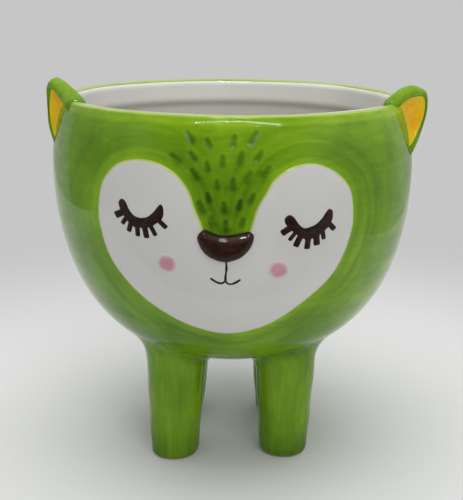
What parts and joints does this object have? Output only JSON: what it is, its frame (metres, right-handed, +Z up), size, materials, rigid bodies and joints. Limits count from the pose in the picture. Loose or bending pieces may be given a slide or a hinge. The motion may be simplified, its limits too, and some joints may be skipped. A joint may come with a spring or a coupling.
{
  "type": "animal shaped planter",
  "caption": "Round glazed ceramic plant pot shaped as a sleepy animal, with small ears at the rim, a white face panel and short legs that lift its drain hole off the table.",
  "frame": {"origin": "on the table under the bowl's axis", "axes": "+Z up along the bowl's axis, the face looks along -Y, +X is to the right when looking at the face"},
  "size_m": [0.1543, 0.1522, 0.1574],
  "materials": {
    "green_glaze": "gloss",
    "white_glaze": "gloss",
    "amber_glaze": "gloss",
    "brown_glaze": "gloss",
    "dark_enamel": "gloss",
    "pink_enamel": "gloss"
  },
  "bodies": {
    "root": {"bowl": "green_glaze", "inner_glaze": "white_glaze", "face_panel": "white_glaze", "nose": "brown_glaze", "mouth": "dark_enamel", "left_lashes": "dark_enamel", "right_lashes": "dark_enamel", "left_cheek": "pink_enamel", "right_cheek": "pink_enamel", "left_ear": "green_glaze", "right_ear": "green_glaze", "left_ear_lining": "amber_glaze", "right_ear_lining": "amber_glaze", "front_left_leg": "green_glaze", "front_right_leg": "green_glaze", "rear_left_leg": "green_glaze", "rear_right_leg": "green_glaze"}
  },
  "joints": []
}
